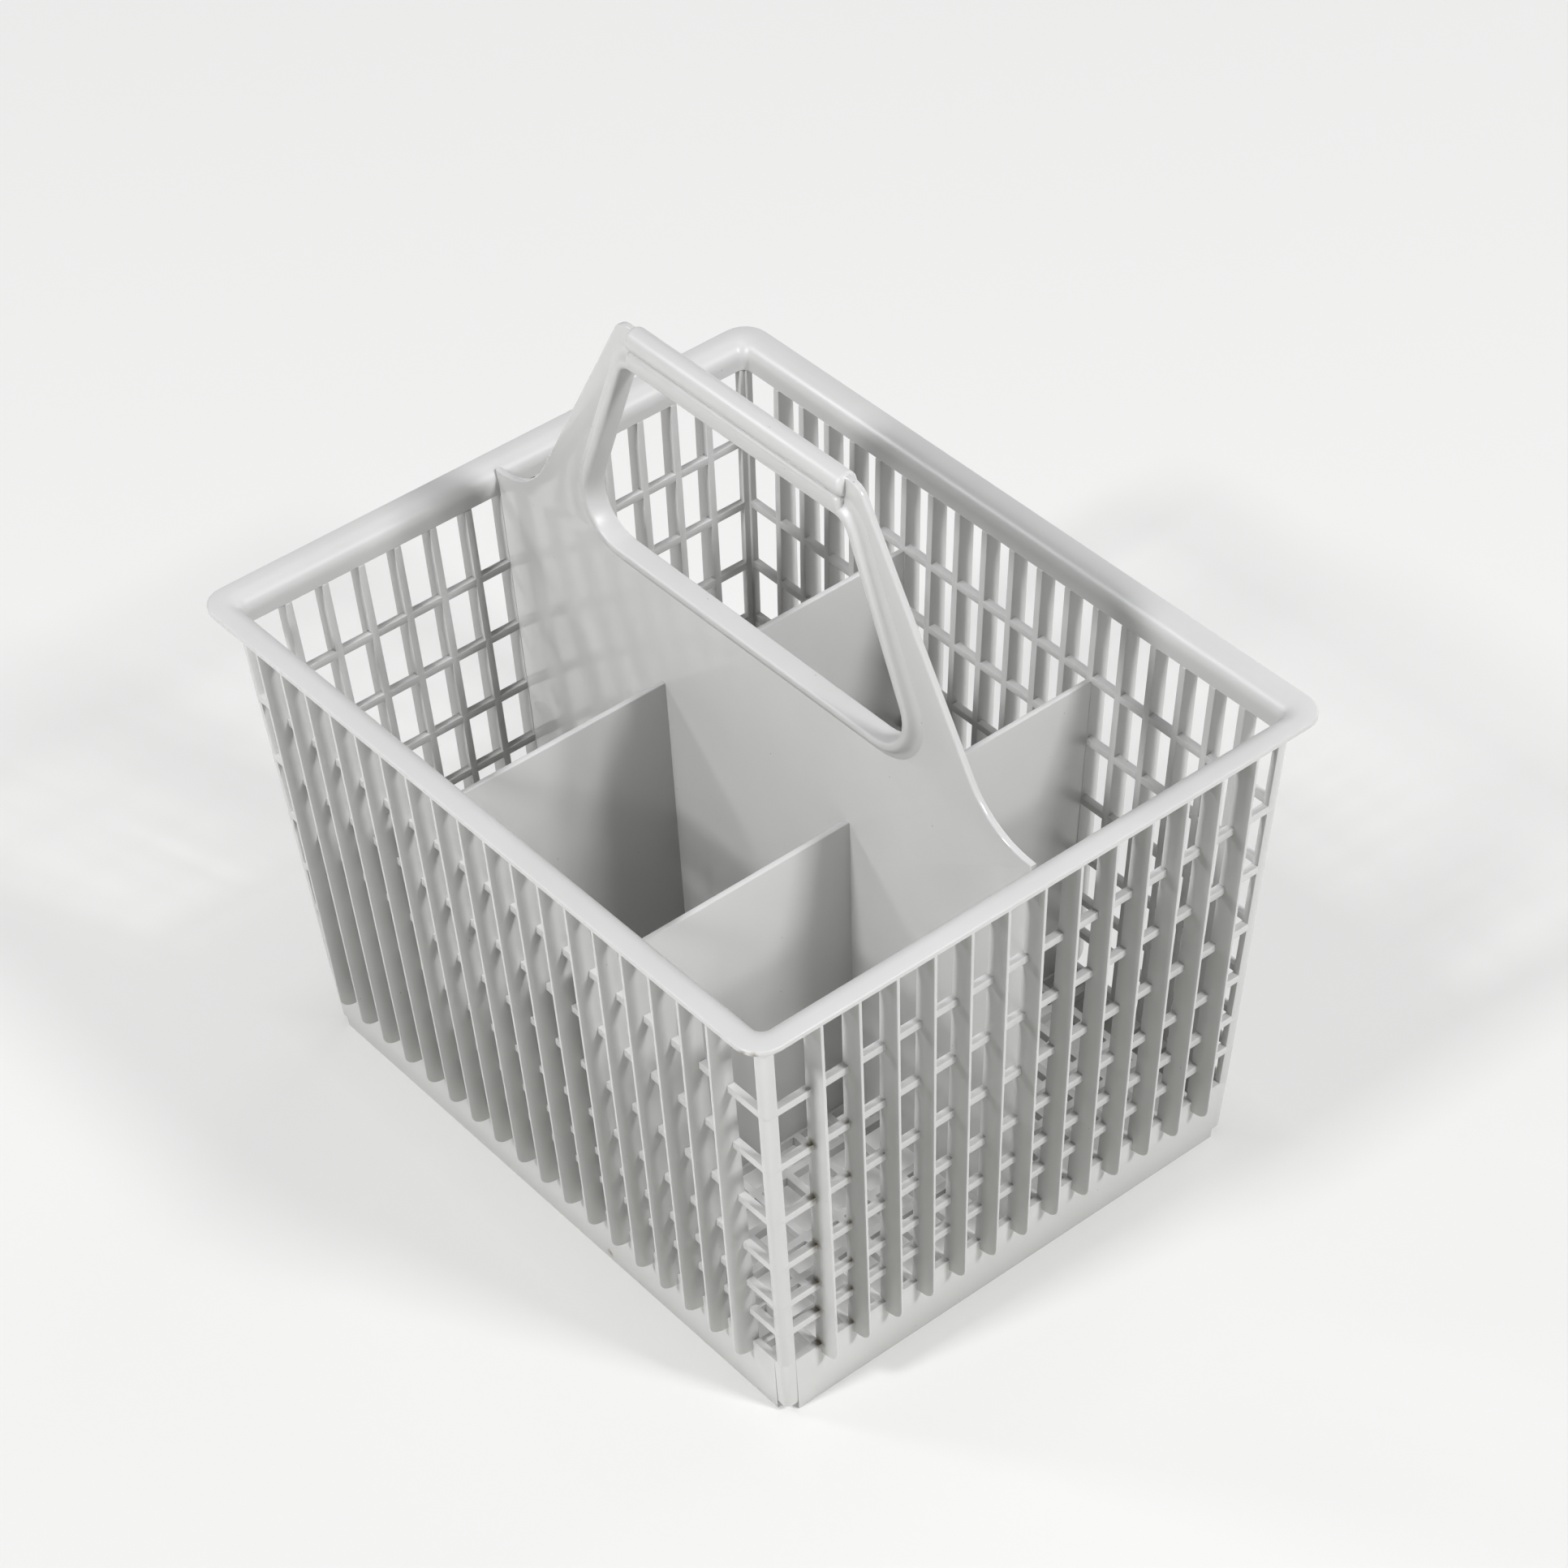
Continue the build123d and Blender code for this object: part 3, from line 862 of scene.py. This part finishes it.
end_arc = arc((GRIP_HALF - GRIP_END_ROUND, GRIP_RADIUS - GRIP_END_ROUND), GRIP_END_ROUND, 0, 90, 5)
grip_rings = [disc(x, radius) for x, radius in end_arc]
grip_rings += [disc(-x, radius) for x, radius in reversed(end_arc)]
grip = new_object("grip", make_mesh("grip", *loft(grip_rings, closed=False)))
finish_piece(grip)

apron_rings = []
for z, half in ((HOLE_TOP + APRON_LIFT, GRIP_HALF + APRON_FLARE), (APRON_TOP, GRIP_HALF - APRON_FLARE)):
    around = ((-1, -1), (1, -1), (1, 1), (-1, 1))
    apron_rings.append([(sx * half, sy * APRON_HALF_DEPTH, z) for sx, sy in around])
apron = new_object("grip_apron", make_mesh("grip_apron", *loft(apron_rings, closed=False)))
soften(apron, APRON_ROUND)
finish_piece(apron)

# %% [markdown]
# ## Floor of the studio, light and camera
#
# The basket stands on white paper. Three small soft lamps light it, from the right, the front and the
# left, and each one casts its own shadow inside the basket. A ceiling and two pale walls are large dim
# lamps that fill the rest. A camera shows bright paper nearly white even in a shadow, so the paper that the
# camera sees holds a share of even white, and less of it under the basket. To the basket the paper is plain
# white, and lights the walls from below. The camera uses a long lens from well above, so the walls
# converge only slightly. Its place, two angles and a roll say where it looks.

# %% Studio floor
PAPER_SIZE = 8.0        # m
PAPER_BOUNCE = "#F0F0EC"    # paper as the basket meets it, which lights the walls from below
PAPER_SEEN = "#D2D2CE"  # paper as the camera meets it, before the share of even white
EVEN_WHITE = "#EDEDED"
PAPER_GLOW = 0.5        # share of even white that the camera sees, which softens the shadows
GLOW_UNDER = 0.25       # the same share in the shade under the basket
GLOW_EDGE = (1.0, 1.25)     # where the one turns into the other, in half sides of the basket's foot
ground_mesh = bpy.data.meshes.new("studio_floor")
reach = PAPER_SIZE / 2
ground_corners = [(-reach, -reach, 0), (reach, -reach, 0), (reach, reach, 0), (-reach, reach, 0)]
ground_mesh.from_pydata(ground_corners, [], [(0, 1, 2, 3)])
ground = new_object("studio_floor", ground_mesh)
paper = bpy.data.materials.new("matt_white_paper")
paper.use_nodes = True
tree = paper.node_tree
tree.nodes.clear()
camera_ray = add(tree, "ShaderNodeLightPath").outputs["Is Camera Ray"]
tone = blend(tree, camera_ray, linear(PAPER_BOUNCE), linear(PAPER_SEEN))
matt = add(tree, "ShaderNodeBsdfPrincipled", {"Base Color": tone, "Roughness": 0.9,
                                              "Specular IOR Level": 0.1})
glow = add(tree, "ShaderNodeEmission", {"Color": linear(EVEN_WHITE)})
place = add(tree, "ShaderNodeTexCoord").outputs["Object"]
per_side = (per_mm(inside(HALF_LENGTH, 0.0)), per_mm(inside(HALF_WIDTH, 0.0)), 0.0)
spot = add(tree, "ShaderNodeVectorMath", {0: place, 1: per_side}, operation="MULTIPLY")
folded = add(tree, "ShaderNodeVectorMath", {0: spot.outputs[0]}, operation="ABSOLUTE")
sides = add(tree, "ShaderNodeSeparateXYZ", {0: folded.outputs[0]})
outside = calc(tree, "MAXIMUM", sides.outputs["X"], sides.outputs["Y"])
share = remap(tree, outside, GLOW_EDGE, (GLOW_UNDER, PAPER_GLOW))
seen = calc(tree, "MULTIPLY", camera_ray, share)
mixed = add(tree, "ShaderNodeMixShader", {0: seen, 1: matt.outputs[0], 2: glow.outputs[0]})
add(tree, "ShaderNodeOutputMaterial", {"Surface": mixed.outputs[0]})
ground_mesh.materials.append(paper)

# %% Lamps and room light
AIM = Vector((0.0, 0.0, 0.09))
LAMP_DISTANCE = 3.0     # m
LAMP_COLOUR = (0.97, 0.97, 1.0)
LAMPS = (               # name, degrees around +Z from +X, degrees of height, size in m, strength
    ("lamp_right", 16, 43, 0.45, 0.81),
    ("lamp_front", 270, 43, 0.35, 0.78),
    ("lamp_left", 220, 38, 0.45, 0.26),
    ("ceiling", 0, 88, 1.5, 0.16),
    ("wall_back", 98, 20, 2.3, 0.50),
    ("wall_right", 0, 20, 2.3, 0.12))
ROOM_COLOUR = "#F4F5F6"
ROOM_LIGHT = 0.02


def lamp(name, around, height, size, strength):
    """Soft square lamp that looks at the basket."""
    data = bpy.data.lights.new(name, "AREA")
    data.shape = "SQUARE"
    data.size = size
    data.color = LAMP_COLOUR
    data.energy = strength * (math.pi * LAMP_DISTANCE) ** 2
    made = new_object(name, data)
    a, h = math.radians(around), math.radians(height)
    where = Vector((math.cos(a) * math.cos(h), math.sin(a) * math.cos(h), math.sin(h)))
    made.location = AIM + where * LAMP_DISTANCE
    made.rotation_euler = where.to_track_quat("Z", "Y").to_euler()


for values in LAMPS:
    lamp(*values)
world = bpy.data.worlds.new("pale_room")
bpy.context.scene.world = world
world.use_nodes = True
sky = world.node_tree.nodes["Background"]
sky.inputs["Color"].default_value = linear(ROOM_COLOUR)
sky.inputs["Strength"].default_value = ROOM_LIGHT

# %% Camera
PHOTO_SIZE = 1932       # pixels along each side of the picture
FOCAL = 5508.9          # focal length in those pixels
AZIMUTH = math.radians(51.798)
ELEVATION = math.radians(41.123)
ROLL = math.radians(-2.592)
CENTRE_SHIFT = (17.2, 10.7)  # lens axis right of and below the picture's centre, pixels
CAMERA_PLACE = (0.7312, -0.5617, 0.9122)    # m
SENSOR = 36.0           # mm

ahead = Vector((-math.sin(AZIMUTH) * math.cos(ELEVATION), math.cos(AZIMUTH) * math.cos(ELEVATION),
                -math.sin(ELEVATION)))
level = Vector((math.cos(AZIMUTH), math.sin(AZIMUTH), 0.0))
upward = level.cross(ahead)
right = level * math.cos(ROLL) + upward * math.sin(ROLL)
up = upward * math.cos(ROLL) - level * math.sin(ROLL)
camera_data = bpy.data.cameras.new("camera")
camera_data.sensor_width = SENSOR
camera_data.lens = FOCAL / PHOTO_SIZE * SENSOR
camera_data.shift_x = -CENTRE_SHIFT[0] / PHOTO_SIZE
camera_data.shift_y = CENTRE_SHIFT[1] / PHOTO_SIZE
camera = new_object("camera", camera_data)
turn = Matrix((right, up, -ahead)).transposed().to_4x4()
camera.matrix_world = Matrix.Translation(CAMERA_PLACE) @ turn
bpy.context.scene.camera = camera
bpy.context.scene.view_settings.view_transform = "Standard"
